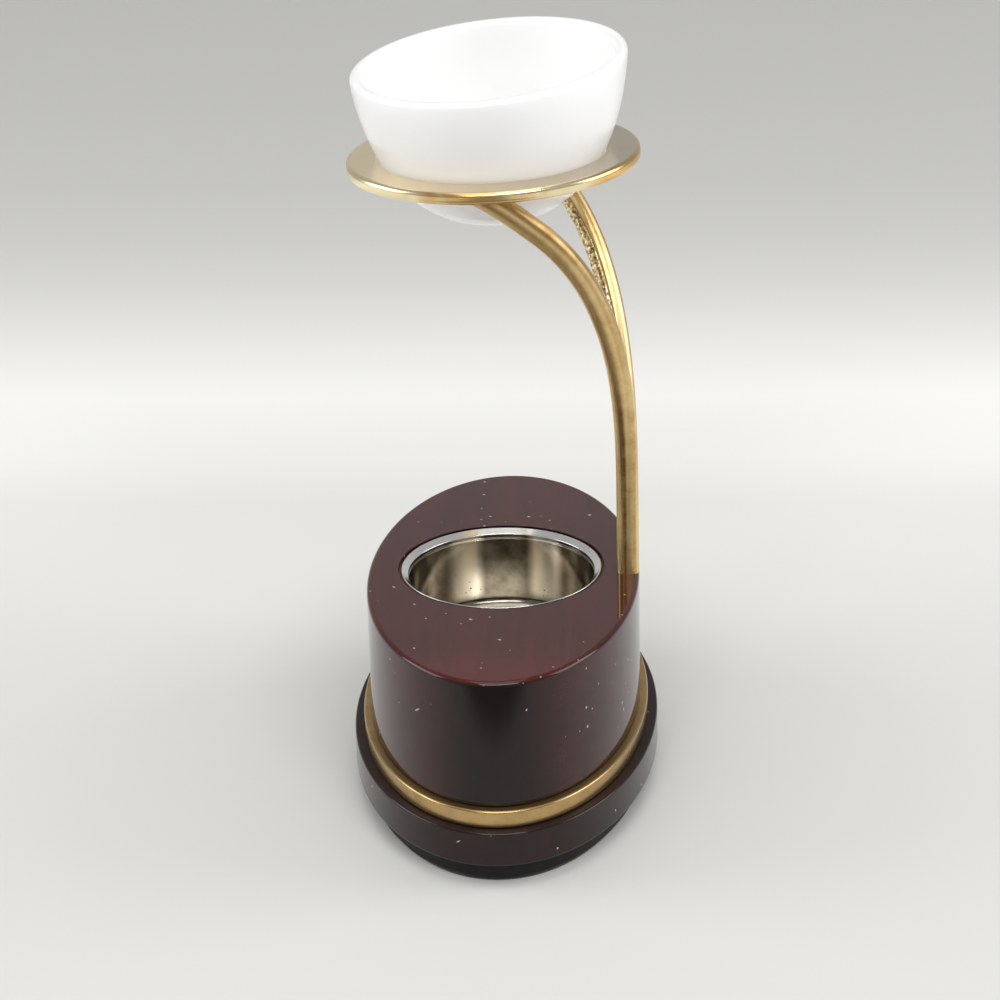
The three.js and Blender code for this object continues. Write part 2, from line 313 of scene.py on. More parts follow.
PLINTH_LEDGE_ROUGH = 0.4


def specks(cells, scale, size, share):
    """Small marks of many sizes at the middles of some cells: 1 on a mark, for a share of the cells."""
    spot = cells.node("ShaderNodeTexVoronoi", None, {"Vector": cells, "Scale": scale})
    chance = Wire(cells.tree, spot.socket.node.outputs["Color"])
    reach = (chance.axis(1) * 0.7 + 0.3) * size
    return (1 - spot.between(reach * 0.5, reach)) * chance.axis(0).between(1 - share, 1.01 - share)


def lacquered(name, gloss):
    """Mahogany under gloss lacquer: long grain along Y with small pores, a smudged and softly rippled film, and
    the dust and hairs that lie on it.
    Returns the material, its shader, the coordinates, the grain, the roughness and the dust."""
    material, shader, place = new_finish(name, {"IOR": LACQUER_IOR})
    figure = place.stretched(FIGURE_CELLS).clouds(1, 5, 0.62)
    streaks = place.stretched(STREAK_CELLS).clouds(1, 3, 0.55)
    pores = place.stretched(PORE_CELLS).clouds(1, 2, 0.5).between(0.62, 0.74)
    grain = (figure * 0.75 + streaks * 0.45).between(0.3, 0.9) * (1 - pores * 0.4)
    smudges = place.clouds(95, 4, 0.6).between(0.42, 0.75)
    ripple = place.clouds(620, 2, 0.4) + place.clouds(95, 1, 0.3) * 3
    hair_place = place.node("ShaderNodeVectorRotate", {"rotation_type": "EULER_XYZ"},
                            {"Vector": place, "Rotation": HAIR_TURN})
    hairs = specks(hair_place.stretched(HAIR_CELLS), 1.0, HAIR_SIZE, HAIR_SHARE)
    dust = specks(place, SPECK_CELLS, SPECK_SIZE, SPECK_SHARE) + hairs
    rough = gloss + smudges * 0.04 + dust * DUST_ROUGH
    feed(shader, {"Normal": ripple.bump(0.08, 0.00005)})
    return material, shader, place, grain, rough, dust


plinth = oval_plate("plinth_oval", PLINTH_HALF_WIDTH, PLINTH_HALF_LENGTH, PLINTH_BOTTOM, PLINTH_TOP,
                    PLINTH_EDGE)
plinth_finish, plinth_shader, plinth_place, plinth_grain, plinth_rough, plinth_dust = lacquered(
    "dark_mahogany_lacquer", PLINTH_GLOSS)
plinth_ledge = plinth_place.facing(2).between(*PLINTH_LEDGE_FACING)
feed(plinth_shader, {
    "Base Color": plinth_dust.mixed(plinth_grain.mixed(PLINTH_DARK, PLINTH_RED), DUST),
    "Roughness": plinth_rough + plinth_ledge * PLINTH_LEDGE_ROUGH,
})
plinth.data.materials.append(plinth_finish)
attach(plinth, "base")
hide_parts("plinth")

# Brass band
# A flat oval ring of brass strip, satin ground, clamped between the plinth and the block's shoulder.
# It shows as a ledge; its edges are eased and its face is brushed along its length.
BAND_HALF_WIDTH = 31.6
BAND_HALF_LENGTH = 58.3
BAND_WIDTH = 5.7
BAND_BOTTOM = 12.9
BAND_TOP = 16.9
BAND_EDGE = 0.5
BAND_GOLD = (0.53, 0.36, 0.16, 1)
BAND_DULL = (0.38, 0.25, 0.11, 1)
BAND_SATIN = 0.23
BAND_BRUSHING = (500, 500, 4200)
BAND_LEDGE_FACING = (0.7, 0.98)
BAND_LEDGE_ROUGH = 0.18
BRUSH_STRENGTH = 0.08
BRUSH_DEPTH = 0.00003
TARNISH_ROUGH = 0.08


def tarnished(place):
    """Cloudy tarnish on brass: 0 where it is bright and 1 where it is dull."""
    patches = place.clouds(170, 5, 0.65)
    spots = place.clouds(1500, 3, 0.6)
    return (patches * 0.8 + spots * 0.2).between(0.36, 0.76)


band_section = rounded([(0, BAND_BOTTOM, BAND_EDGE), (0, BAND_TOP, BAND_EDGE),
                        (BAND_WIDTH, BAND_TOP, BAND_EDGE), (BAND_WIDTH, BAND_BOTTOM, BAND_EDGE)], closed=True)
band = loft("band_oval", [oval_row(BAND_HALF_WIDTH, BAND_HALF_LENGTH, u, height) for u, height in band_section],
            ring=True)
band_finish, band_shader, band_place = new_finish("satin_brass_band", {"Metallic": 1.0})
band_tarnish = tarnished(band_place)
band_lines = band_place.stretched(BAND_BRUSHING).clouds(1, 3, 0.6)
band_ledge = band_place.facing(2).between(*BAND_LEDGE_FACING)
feed(band_shader, {
    "Base Color": band_tarnish.mixed(BAND_GOLD, BAND_DULL),
    "Roughness": BAND_SATIN + band_tarnish * TARNISH_ROUGH + band_ledge * BAND_LEDGE_ROUGH,
    "Normal": band_lines.bump(BRUSH_STRENGTH, BRUSH_DEPTH),
})
band.data.materials.append(band_finish)
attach(band, "base")
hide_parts("brass_band")

# Block
# The oval mahogany block, shaped from one piece, under many coats of lacquer; painted light makes its top
# lighter than its sides, and painted shade makes its front and back faces darkest.
# A boss below locates it in the band. Its top is bored and stepped for the cup, and the bore is bare wood.
BLOCK_HALF_WIDTH = 29.9
BLOCK_HALF_LENGTH = 56.6
BOSS_HALF_WIDTH = 25.6
BOSS_HALF_LENGTH = 52.3
BLOCK_BOTTOM = 16.9
BLOCK_TOP = 45.5
BLOCK_EDGE = 1.0
BORE_MIDDLE = (-0.6, 2.7)
BORE_RIM_RADIUS = 22.8
BORE_RIM_BOTTOM = 44.5
BORE_RADIUS = 21.5
BORE_FLOOR = 25.75
BORE_EDGE = 0.1
BORE_CORNER = 0.4
BOSS_EDGE = 0.3
LACQUER_END = (0.0224, 0.02275)
BLOCK_GLOSS = 0.04
BORE_ROUGH = 0.6
TOP_FACING = (0.2, 0.9)
SHADED_END_FACING = (0.35, 0.98)
REDDER_FRONT = (-0.052, -0.036)
BARE_CELLS = (1500, 60, 1500)
BLOCK_SHADED_END_DARK = (0.002, 0.0008, 0.0008, 1)
BLOCK_SHADED_END_RED = (0.007, 0.0016, 0.0016, 1)
BLOCK_SHADED_SIDE_DARK = (0.022, 0.006, 0.006, 1)
BLOCK_SHADED_SIDE_RED = (0.046, 0.011, 0.011, 1)
BLOCK_LIT_TOP_DARK = (0.032, 0.0054, 0.0054, 1)
BLOCK_LIT_TOP_RED = (0.084, 0.0105, 0.0105, 1)
BARE_DARK = (0.09, 0.035, 0.02, 1)
BARE_LIGHT = (0.2, 0.085, 0.045, 1)

block_rows = [[(0, 0, BAND_BOTTOM * MM)]]
boss_corners = [(BOSS_HALF_WIDTH * 0.5, BAND_BOTTOM, 0), (0, BAND_BOTTOM, BOSS_EDGE), (0, BLOCK_BOTTOM, 0)]
block_rows += [oval_row(BOSS_HALF_WIDTH, BOSS_HALF_LENGTH, u, height) for u, height in rounded(boss_corners)]
side_corners = [(2, BLOCK_BOTTOM, 0), (0, BLOCK_BOTTOM, BLOCK_EDGE), (0, BLOCK_TOP, BLOCK_EDGE),
                (2, BLOCK_TOP, 0)]
block_rows += [oval_row(BLOCK_HALF_WIDTH, BLOCK_HALF_LENGTH, u, height) for u, height in rounded(side_corners)]
bore_corners = [(BORE_RIM_RADIUS + 1, BLOCK_TOP, 0), (BORE_RIM_RADIUS, BLOCK_TOP, BORE_EDGE),
                (BORE_RIM_RADIUS, BORE_RIM_BOTTOM, BORE_EDGE), (BORE_RADIUS, BORE_RIM_BOTTOM, BORE_EDGE),
                (BORE_RADIUS, BORE_FLOOR, BORE_CORNER), (BORE_RADIUS * 0.5, BORE_FLOOR, 0)]
block_rows += [oval_row(radius, radius, 0, height, BORE_MIDDLE) for radius, height in rounded(bore_corners)]
block_rows.append([(BORE_MIDDLE[0] * MM, BORE_MIDDLE[1] * MM, BORE_FLOOR * MM)])
block = loft("block_oval", block_rows)
block_finish, block_shader, block_place, block_grain, block_rough, block_dust = lacquered(
    "mahogany_high_gloss_lacquer", BLOCK_GLOSS)
bore_x = block_place.axis(0) - BORE_MIDDLE[0] * MM
bore_y = block_place.axis(1) - BORE_MIDDLE[1] * MM
bore_reach = (bore_x * bore_x + bore_y * bore_y) ** 0.5
in_bore = 1 - bore_reach.between(*LACQUER_END)
# Painted light and shade: faces turned up take the lighter top colours, the sides take darker copies of the
# same mahogany.
block_painted_top_light = block_place.facing(2).between(*TOP_FACING)
# Painted shade: the faces towards the front and back are painted darkest.
block_shaded_ends = (block_place.facing(1) ** 2.0).between(*SHADED_END_FACING)
block_shaded_side_colour = block_shaded_ends.mixed(block_grain.mixed(BLOCK_SHADED_SIDE_DARK, BLOCK_SHADED_SIDE_RED),
                                    block_grain.mixed(BLOCK_SHADED_END_DARK, BLOCK_SHADED_END_RED))
block_front = (1 - block_place.axis(1).between(*REDDER_FRONT)) * 0.5
block_lit_top_colour = (block_grain * 0.7 + block_front).mixed(BLOCK_LIT_TOP_DARK, BLOCK_LIT_TOP_RED)
block_colour = block_painted_top_light.mixed(block_shaded_side_colour, block_lit_top_colour)
bare_grain = block_place.stretched(BARE_CELLS).clouds(1, 4, 0.6)
bare_colour = bare_grain.between(0.35, 0.7).mixed(BARE_DARK, BARE_LIGHT)
feed(block_shader, {
    "Base Color": in_bore.mixed(block_dust.mixed(block_colour, DUST), bare_colour),
    "Roughness": block_rough + in_bore * BORE_ROUGH,
})
block.data.materials.append(block_finish)
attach(block, "base")
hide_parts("block")

# Base screws
# Two countersunk wood screws, zinc plated, that go up through foot board, plinth and band into the block.
# They are hidden by the felt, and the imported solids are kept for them.
ZINC_LIGHT = (0.62, 0.6, 0.52, 1)
ZINC_DARK = (0.4, 0.38, 0.32, 1)

zinc_finish, zinc_shader, zinc_place = new_finish("zinc_plated_steel", {"Metallic": 1.0})
zinc_patches = zinc_place.clouds(700, 4, 0.6)
feed(zinc_shader, {
    "Base Color": zinc_patches.between(0.35, 0.7).mixed(ZINC_DARK, ZINC_LIGHT),
    "Roughness": 0.3 + zinc_patches * 0.25,
    "Normal": zinc_place.clouds(3000, 2).bump(0.1, 0.00005),
})
for screw in ("base_screw_front", "base_screw_rear"):
    for material_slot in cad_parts[screw].material_slots:
        material_slot.material = zinc_finish

# Tealight cup
# A drawn cup of thin brass, bright nickel plated, that hangs in the bore by the flared rim spun at its mouth.
# Candle soot and heat have browned and pitted the plating inside; two bright bands up the wall are painted
# reflections, and the rim stays bright.
CUP_OUTER = 21.2
CUP_INNER = 20.5
CUP_UNDERSIDE = 26.05
CUP_FLOOR = 26.75
RIM_OUTER = 22.1
RIM_BOTTOM = 44.5
RIM_TOP = 45.35
RIM_LAND = 21.85
RIM_FLARE_BOTTOM = 44.3
RIM_LIP = 20.5
CUP_GROOVE = 20.85
CUP_FLAT = 10
CUP_FOOT_EDGE = 3
CUP_FLOOR_EDGE = 2.3
NICKEL = (0.95, 0.95, 0.945, 1)
NICKEL_BROWNED_AND_REFLECTION = (0.98, 0.92, 0.8, 1)
NICKEL_SOOT = (0.105, 0.088, 0.064, 1)
NICKEL_PIT = (0.06, 0.05, 0.035, 1)
INSIDE_REACH = (0.02088, 0.021)
INSIDE_TOP = (0.0441, 0.0443)
REFLECTION_BAND_START = (0.0045, 0.0075)
REFLECTION_BAND_END = (0.0105, 0.0135)
REFLECTION_BAND_FOOT = (0.028, 0.031)
PIT_CELLS = 900.0
PIT_TOP = (0.034, 0.039)
FLOOR_TOP = (0.0269, 0.0276)

cup_corners = [(CUP_FLAT, CUP_UNDERSIDE, 0), (CUP_OUTER, CUP_UNDERSIDE, CUP_FOOT_EDGE),
               (CUP_OUTER, RIM_BOTTOM, 0.1), (RIM_OUTER, RIM_BOTTOM, 0.2), (RIM_OUTER, RIM_TOP, 0.1),
               (RIM_LAND, RIM_TOP, 0.12), (RIM_LIP, RIM_FLARE_BOTTOM, 0.12),
               (CUP_GROOVE, RIM_FLARE_BOTTOM - 0.12, 0.05), (CUP_GROOVE, RIM_FLARE_BOTTOM - 0.8, 0.1),
               (CUP_INNER, RIM_FLARE_BOTTOM - 1.1, 0.15), (CUP_INNER, CUP_FLOOR, CUP_FLOOR_EDGE),
               (CUP_FLAT, CUP_FLOOR, 0)]
cup_rows = [[(BORE_MIDDLE[0] * MM, BORE_MIDDLE[1] * MM, CUP_UNDERSIDE * MM)]]
cup_rows += [oval_row(radius, radius, 0, height, BORE_MIDDLE) for radius, height in rounded(cup_corners)]
cup_rows.append([(BORE_MIDDLE[0] * MM, BORE_MIDDLE[1] * MM, CUP_FLOOR * MM)])
cup = loft("tealight_cup_drawn", cup_rows)
cup_finish, cup_shader, cup_place = new_finish("bright_nickel_plate", {"Metallic": 1.0})
cup_x = cup_place.axis(0) - BORE_MIDDLE[0] * MM
cup_y = cup_place.axis(1) - BORE_MIDDLE[1] * MM
cup_z = cup_place.axis(2)
cup_reach = (cup_x * cup_x + cup_y * cup_y) ** 0.5
cup_inside = (1 - cup_reach.between(*INSIDE_REACH)) * (1 - cup_z.between(*INSIDE_TOP))
cup_soot = cup_place.clouds(210, 5, 0.65)
cup_across = abs(cup_x)
# Painted reflections: two bright bands up the wall, left and right of the middle.
cup_painted_reflection_bands = cup_across.between(*REFLECTION_BAND_START) * (1 - cup_across.between(*REFLECTION_BAND_END)) * cup_z.between(*REFLECTION_BAND_FOOT)
pit_spots = cup_place.node("ShaderNodeTexVoronoi", None, {"Vector": cup_place, "Scale": PIT_CELLS})
pit_patches = cup_place.clouds(160, 3).between(0.48, 0.58) * (1 - cup_z.between(*PIT_TOP))
cup_pits = (1 - pit_spots.between(0.12, 0.2)) * pit_patches * cup_painted_reflection_bands
cup_bottom = 1 - cup_z.between(*FLOOR_TOP)
cup_wall = (cup_painted_reflection_bands * 1.05 + cup_soot * 0.5 - 0.15 + cup_bottom).mixed(NICKEL_SOOT, NICKEL_BROWNED_AND_REFLECTION)
feed(cup_shader, {
    "Base Color": cup_pits.mixed(cup_inside.mixed(NICKEL, cup_wall), NICKEL_PIT),
    "Roughness": 0.16 - cup_inside * (0.04 - cup_soot * 0.08) + cup_pits * 0.3 + cup_bottom * 0.25,
    "Normal": (cup_place.clouds(240, 2) * 3 + cup_place.clouds(1900, 2) * 0.4 - cup_pits).bump(0.15, 0.00006),
})
cup.data.materials.append(cup_finish)
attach(cup, "cup")
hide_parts("tealight_cup")

# Stem fork
# One brass casting: a stem that splits into two arms, filed to soft flats and polished outside, with a dark
# reflection painted in streaks along its faces. The hollow side of each arm keeps its pitted cast skin, with a
# filed groove beside it that is painted dark as shade, and the tips bend up into the solder under the ring. The
# front arm is darker towards the ring.
STEM_X = 27.425
STEM_RADIUS = 2.425
STEM_SPLIT = 58.1
SPIGOT_RADIUS = 1.4
SPIGOT_BOTTOM = 27.5
ARM_CURVE = (Vector((27.425, 0, 58.1)), Vector((27.425, 0, 87.6)), Vector((28.025, -25.86, 127.4)),
             Vector((-3.0, -27.36, 138.4)))
ARM_PAST = 3.0
ARM_STEP = 0.25
ARM_SIDES = 80
ARM_FINE = 4000
INTO_RING = 0.04
JOIN_REACH = 0.002
SHARP_ANGLE = 50
SKIN_START = 82.0
SKIN_FULL = 92.0
SKIN_DEPTH = 0.22
GROOVE_DEPTH = 0.22
SKIN_FROM = (-2, 6)
SKIN_TO = (88, 104)
GROOVE_MIDDLE = -1
GROOVE_HALF = 7
FILED_DEPTH = 0.02
FILED_ROUND = 2.3
FILED_ALONG = 0.02
STEM_SQUARE = 3.0
ARM_SQUARE = 2.15
SQUARE_TOP = 96.0
TIP_START = 10.0
TIP_END = -5.8
TIP_LIFT = 2.0
RING_CENTRE = Vector((0, 0, 141.1))
RING_LEAN = Matrix.Rotation(math.radians(-2.1), 3, "Y")
RING_THICKNESS = 2.7
FORK_GOLD = (0.84, 0.63, 0.31, 1)
FORK_DULL = (0.67, 0.44, 0.17, 1)
FORK_BROWN = (0.15, 0.064, 0.009, 1)
STRIP_MIDDLE = 167.0
STRIP_HALF = 13.0
STRIP_FADE = 0.65
FACE_START = 174.0
FACE_END = 224.0
FACE_DARK_REFLECTION = 0.58
FACE_SHIFT = 26.0
FACE_FADE = 0.35
FACE_SOFT = 10.0
POLISH_MARKS = 0.75
ACROSS = 0.25
FRONT_ARM = (-0.006, 0.002)
DARKER_HEIGHTS = (0.09, 0.136)
DARKER_SHARE = 0.3
SKIN_GOLD = (0.88, 0.7, 0.38, 1)
SKIN_DARK = (0.16, 0.09, 0.03, 1)


def arm_point(t):
    """The front arm's centre line, from 0 at the split to 1 at the ring."""
    p0, p1, p2, p3 = ARM_CURVE
    s = 1 - t
    return p0 * s ** 3 + p1 * 3 * s * s * t + p2 * 3 * s * t * t + p3 * t ** 3


def arm_line():
    """Points at even steps from the stem's foot to just past the end of the front arm."""
    line = []
    straight = int((STEM_SPLIT - BLOCK_TOP) / ARM_STEP)
    for step in range(straight):
        line.append(Vector((STEM_X, 0, BLOCK_TOP + (STEM_SPLIT - BLOCK_TOP) * step / straight)))
    fine = [arm_point(step / ARM_FINE) for step in range(ARM_FINE + 1)]
    walked = 0.0
    line.append(fine[0])
    for here, there in zip(fine, fine[1:]):
        walked += (there - here).length
        if walked >= ARM_STEP:
            line.append(there)
            walked -= ARM_STEP
    ahead = (ARM_CURVE[3] - ARM_CURVE[2]).normalized()
    for step in range(1, int(ARM_PAST / ARM_STEP) + 1):
        line.append(ARM_CURVE[3] + ahead * ARM_STEP * step)
    return line


def eased(value, low, high):
    """0 below low and 1 above high, eased in between."""
    share = min(1.0, max(0.0, (value - low) / (high - low)))
    return share * share * (3 - 2 * share)


def face_tarnish(degrees, height, rise):
    """The painted dark reflection on the faces: a dark strip left of the middle and a darker face beside it."""
    strip = math.exp(-((degrees - STRIP_MIDDLE) / STRIP_HALF) ** 2)
    strip *= 1 - STRIP_FADE * eased(height, SKIN_START, SQUARE_TOP)
    across = degrees - FACE_SHIFT * rise
    face = eased(across, FACE_START - FACE_SOFT, FACE_START + FACE_SOFT)
    face *= 1 - eased(across, FACE_END - FACE_SOFT, FACE_END + FACE_SOFT)
    return max(strip, face * FACE_DARK_REFLECTION * (1 - FACE_FADE * rise))


def bridge(bm, low, high):
    """A belt of faces between two rows of points round the bar."""
    for side in range(ARM_SIDES):
        other = (side + 1) % ARM_SIDES
        bm.faces.new((low[side], low[other], high[other], high[side]))


def everything(bm):
    """All the points, edges and faces of a mesh in the making."""
    return bm.verts[:] + bm.edges[:] + bm.faces[:]


def fork_mesh():
    """The front arm swept as a squared, round-cornered bar with its tip bent up, cut under the ring and at the
    middle plane, then mirrored and joined. Its marks are kept at the points, and the cast skin is sunk in."""
    bm = bmesh.new()
    skin = bm.verts.layers.float.new("cast_skin")
    groove = bm.verts.layers.float.new("filed_groove")
    filed = bm.verts.layers.float.new("filed_flats")
    brown = bm.verts.layers.float.new("face_tarnish")
    line = arm_line()
    for centre in line:
        centre.z += TIP_LIFT * (1 - eased(centre.x, TIP_END, TIP_START))
    rows = []
    for index, centre in enumerate(line):
        tangent = (line[min(index + 1, len(line) - 1)] - line[max(index - 1, 0)]).normalized()
        facing = Vector((0, 1, 0))
        facing = (facing - tangent * facing.dot(tangent)).normalized()
        inward = tangent.cross(facing)
        along = eased(centre.z, SKIN_START, SKIN_FULL)
        rise = eased(centre.z, STEM_SPLIT, SQUARE_TOP)
        power = STEM_SQUARE + (ARM_SQUARE - STEM_SQUARE) * rise
        row = []
        for side in range(ARM_SIDES):
            turn = 2 * math.pi * side / ARM_SIDES
            cosine, sine = math.cos(turn), math.sin(turn)
            out = facing * cosine + inward * sine
            square = abs(cosine) ** power + abs(sine) ** power
            vert = bm.verts.new(centre + out * STEM_RADIUS * square ** (-1 / power))
            degrees = math.degrees(turn)
            signed = degrees - 360 if degrees > 180 else degrees
            vert[skin] = along * eased(signed, *SKIN_FROM) * (1 - eased(signed, *SKIN_TO))
            vert[groove] = along * max(0.0, 1 - abs(signed - GROOVE_MIDDLE) / GROOVE_HALF)
            flats = Vector((FILED_ROUND * cosine, FILED_ROUND * sine, FILED_ALONG * index * ARM_STEP))
            vert[filed] = noise.noise(flats) * (1 - vert[skin])
            vert[brown] = face_tarnish(degrees, centre.z, rise)
            row.append(vert)
        rows.append(row)
    for low, high in zip(rows, rows[1:]):
        bridge(bm, low, high)
    spigot = []
    for height in (BLOCK_TOP, SPIGOT_BOTTOM):
        middle = Vector((STEM_X, 0, height))
        share = SPIGOT_RADIUS / STEM_RADIUS
        spigot.append([bm.verts.new(middle + (vert.co - line[0]) * share) for vert in rows[0]])
    bridge(bm, spigot[0], rows[0])
    bridge(bm, spigot[1], spigot[0])
    bm.faces.new(list(reversed(spigot[1])))
    up = RING_LEAN @ Vector((0, 0, 1))
    under = RING_CENTRE - up * (RING_THICKNESS - INTO_RING)
    for point, normal in ((under, up), (Vector((0, 0, 0)), Vector((0, 1, 0)))):
        bmesh.ops.bisect_plane(bm, geom=everything(bm), plane_co=point, plane_no=normal, clear_outer=True)
    copy = bmesh.ops.duplicate(bm, geom=everything(bm))["geom"]
    for item in copy:
        if isinstance(item, bmesh.types.BMVert):
            item.co.y = -item.co.y
    twin_faces = [item for item in copy if isinstance(item, bmesh.types.BMFace)]
    bmesh.ops.reverse_faces(bm, faces=twin_faces)
    bmesh.ops.remove_doubles(bm, verts=bm.verts[:], dist=JOIN_REACH)
    bmesh.ops.holes_fill(bm, edges=[edge for edge in bm.edges if edge.is_boundary])
    bm.normal_update()
    for vert in bm.verts:
        rough = noise.noise(vert.co * 1.9) * 0.6 + noise.noise(vert.co * 4.1) * 0.4
        pit = max(0.0, noise.noise(vert.co * 1.2 + Vector((9, 3, 5))) - 0.15)
        sink = vert[skin] * SKIN_DEPTH * (0.35 + 0.65 * rough + pit) + vert[groove] * GROOVE_DEPTH
        sink += FILED_DEPTH * (0.5 + 0.5 * vert[filed])
        vert.co -= vert.normal * sink
    for vert in bm.verts:
        vert.co *= MM
    mesh = bpy.data.meshes.new("stem_fork_cast")
    bm.to_mesh(mesh)
    bm.free()
    mesh.shade_smooth()
    mesh.set_sharp_from_angle(angle=math.radians(SHARP_ANGLE))
    return mesh


fork = bpy.data.objects.new("stem_fork_cast", fork_mesh())
bpy.context.scene.collection.objects.link(fork)
fork_finish, fork_shader, fork_place = new_finish("polished_cast_brass", {
    "Metallic": 1.0,
    "Anisotropic": POLISH_MARKS,
    "Anisotropic Rotation": ACROSS,
})
fork_tarnish = tarnished(fork_place)
fork_skin = fork_place.stored("cast_skin")
fork_groove_painted_shade = fork_place.stored("filed_groove")
# Painted dark reflection: the strip and darker face kept at the points.
fork_dark_reflection = fork_place.stored("face_tarnish")
fork_front = 1 - fork_place.axis(1).between(*FRONT_ARM)
# The front arm is darker towards the ring.
fork_darker_to_ring = fork_place.axis(2).between(*DARKER_HEIGHTS) * fork_front * DARKER_SHARE
fork_dark = (fork_dark_reflection * (0.75 + fork_tarnish * 0.4) + fork_darker_to_ring).between(0, 1.15)
fork_polish = fork_place.clouds(2200, 2, 0.5)
skin_pits = fork_place.clouds(1300, 4, 0.6)
skin_colour = skin_pits.between(0.35, 0.62).mixed(SKIN_DARK, SKIN_GOLD)
fork_face = fork_dark.mixed(fork_tarnish.mixed(FORK_GOLD, FORK_DULL), FORK_BROWN)
fork_colour = fork_skin.mixed(fork_face, skin_colour)
feed(fork_shader, {
    # The groove is painted dark as painted shade.
    "Base Color": (fork_groove_painted_shade * 0.85).mixed(fork_colour, SKIN_DARK),
    "Roughness": 0.32 + fork_tarnish * 0.06 - fork_skin * 0.04,
    "Normal": (fork_polish * 0.08 * (1 - fork_skin) + fork_skin * skin_pits * 2).bump(0.7, 0.00008),
})
fork.data.materials.append(fork_finish)
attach(fork, "base")
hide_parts("stem_fork")

# Bowl ring
# A flat ring cut from brass plate and satin ground, soldered to the ends of the two arms.
# Its top face goes from pale on the left to grey on the right, its edge is gold, heat has stained it near the
# solder, and the right end of the edge is painted darker as shade.
RING_OUTER = 30.76
RING_INNER = 23.96
RING_EDGE = 1.0
RING_BORE_EDGE = 0.5
RING_GOLD = (0.95, 0.83, 0.54, 1)
RING_DULL = (0.9, 0.76, 0.46, 1)
RING_PALE = (0.92, 0.78, 0.53, 1)
RING_GREYED = (0.56, 0.49, 0.38, 1)
RING_MARK = (0.97, 0.93, 0.84, 1)
RING_STAIN_AND_SHADE = (0.72, 0.47, 0.19, 1)
RING_SATIN = 0.17
RING_BRUSHING = (60, 60, 2400)
RING_TOP_FACING = (0.9, 0.985)
MARK_CELLS = (160, 800, 160)
HEAT_REACH = 0.021

ring_section = rounded([(RING_OUTER, -RING_THICKNESS, RING_EDGE), (RING_OUTER, 0, RING_EDGE),
                        (RING_INNER, 0, RING_BORE_EDGE), (RING_INNER, -RING_THICKNESS, RING_BORE_EDGE)],
                       closed=True)
ring_rows = [oval_row(radius, radius, 0, height) for radius, height in ring_section]
ring_rows = [[RING_CENTRE * MM + RING_LEAN @ Vector(point) for point in row] for row in ring_rows]
ring = loft("bowl_ring_plate", ring_rows, ring=True)
ring_finish, ring_shader, ring_place = new_finish("satin_brass_ring", {"Metallic": 1.0})
ring_tarnish = tarnished(ring_place)
ring_lines = ring_place.stretched(RING_BRUSHING).clouds(1, 3, 0.6)
ring_up = ring_place.facing(2).between(*RING_TOP_FACING)
ring_top = ring_place.axis(0).between(-0.03, 0.03).mixed(RING_PALE, RING_GREYED)
ring_x = ring_place.axis(0) - ARM_CURVE[3].x * MM
ring_y = abs(ring_place.axis(1))
ring_heat = (1 - abs(ring_x) / HEAT_REACH) * ring_y.between(0.02, 0.029)
ring_heat = (ring_heat + (ring_place.clouds(230, 4, 0.6) - 0.5) * 1.1).between(0.1, 0.95) * (1 - ring_up)
# Painted shade: the right end of the edge is painted darker; the rest of the stain is heat near the solder.
ring_stain_and_shade = ring_heat + ring_place.axis(0).between(0.017, 0.025)
ring_face = ring_stain_and_shade.between(0, 1).mixed(ring_tarnish.mixed(RING_GOLD, RING_DULL), RING_STAIN_AND_SHADE)
ring_marks = specks(ring_place.stretched(MARK_CELLS), 1.0, 0.13, 0.45) * ring_up
ring_colour = ring_marks.mixed(ring_up.mixed(ring_face, ring_top), RING_MARK)
feed(ring_shader, {
    "Base Color": ring_colour,
    "Roughness": RING_SATIN + ring_tarnish * TARNISH_ROUGH + ring_lines * 0.05,
    "Normal": ring_lines.bump(BRUSH_STRENGTH, BRUSH_DEPTH),
})
ring.data.materials.append(ring_finish)
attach(ring, "base")
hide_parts("bowl_ring")

# Oil bowl
# A slip-cast bowl in white glaze: a small flat foot, a ball-shaped bottom, a steeper wall and a slanted rim.
# It lies loose in the ring on its ball-shaped bottom.
BOWL_CENTRE = Vector((-0.409, 0, 152.259))
BALL_OUTER = 26.3
BALL_INNER = 23.8
SEAT_ANGLE = -25.5
WALL_CENTRE = Vector((-24.099, 11.495))
WALL_OUTER = 53.0
WALL_INNER = 50.5
WALL_TOP_ANGLE = -4.78
LIP_RADIUS = 1.245
FOOT_RADIUS = 6.5
FOOT_HEIGHT = -25.484
FLOOR_HEIGHT = -22.984
FOOT_INNER = 3.0
FOOT_ROUND = 0.3
BALL_STEPS = 40
WALL_STEPS = 24
LIP_STEPS = 16
SLANT_START = 11.167
SLANT_REACH = 19.6
SLANT_X = 0.09101
SLANT_Y = 0.06116
GLAZE_WHITE = (0.93, 0.93, 0.925, 1)
GLAZE_SHADE = (0.91, 0.91, 0.905, 1)


def arc(centre, radius, start, end, steps):
    """Points on an arc, with angles in degrees."""
    points = []
    for step in range(steps + 1):
        turn = math.radians(start + (end - start) * step / steps)
        points.append(centre + radius * Vector((math.cos(turn), math.sin(turn))))
    return points


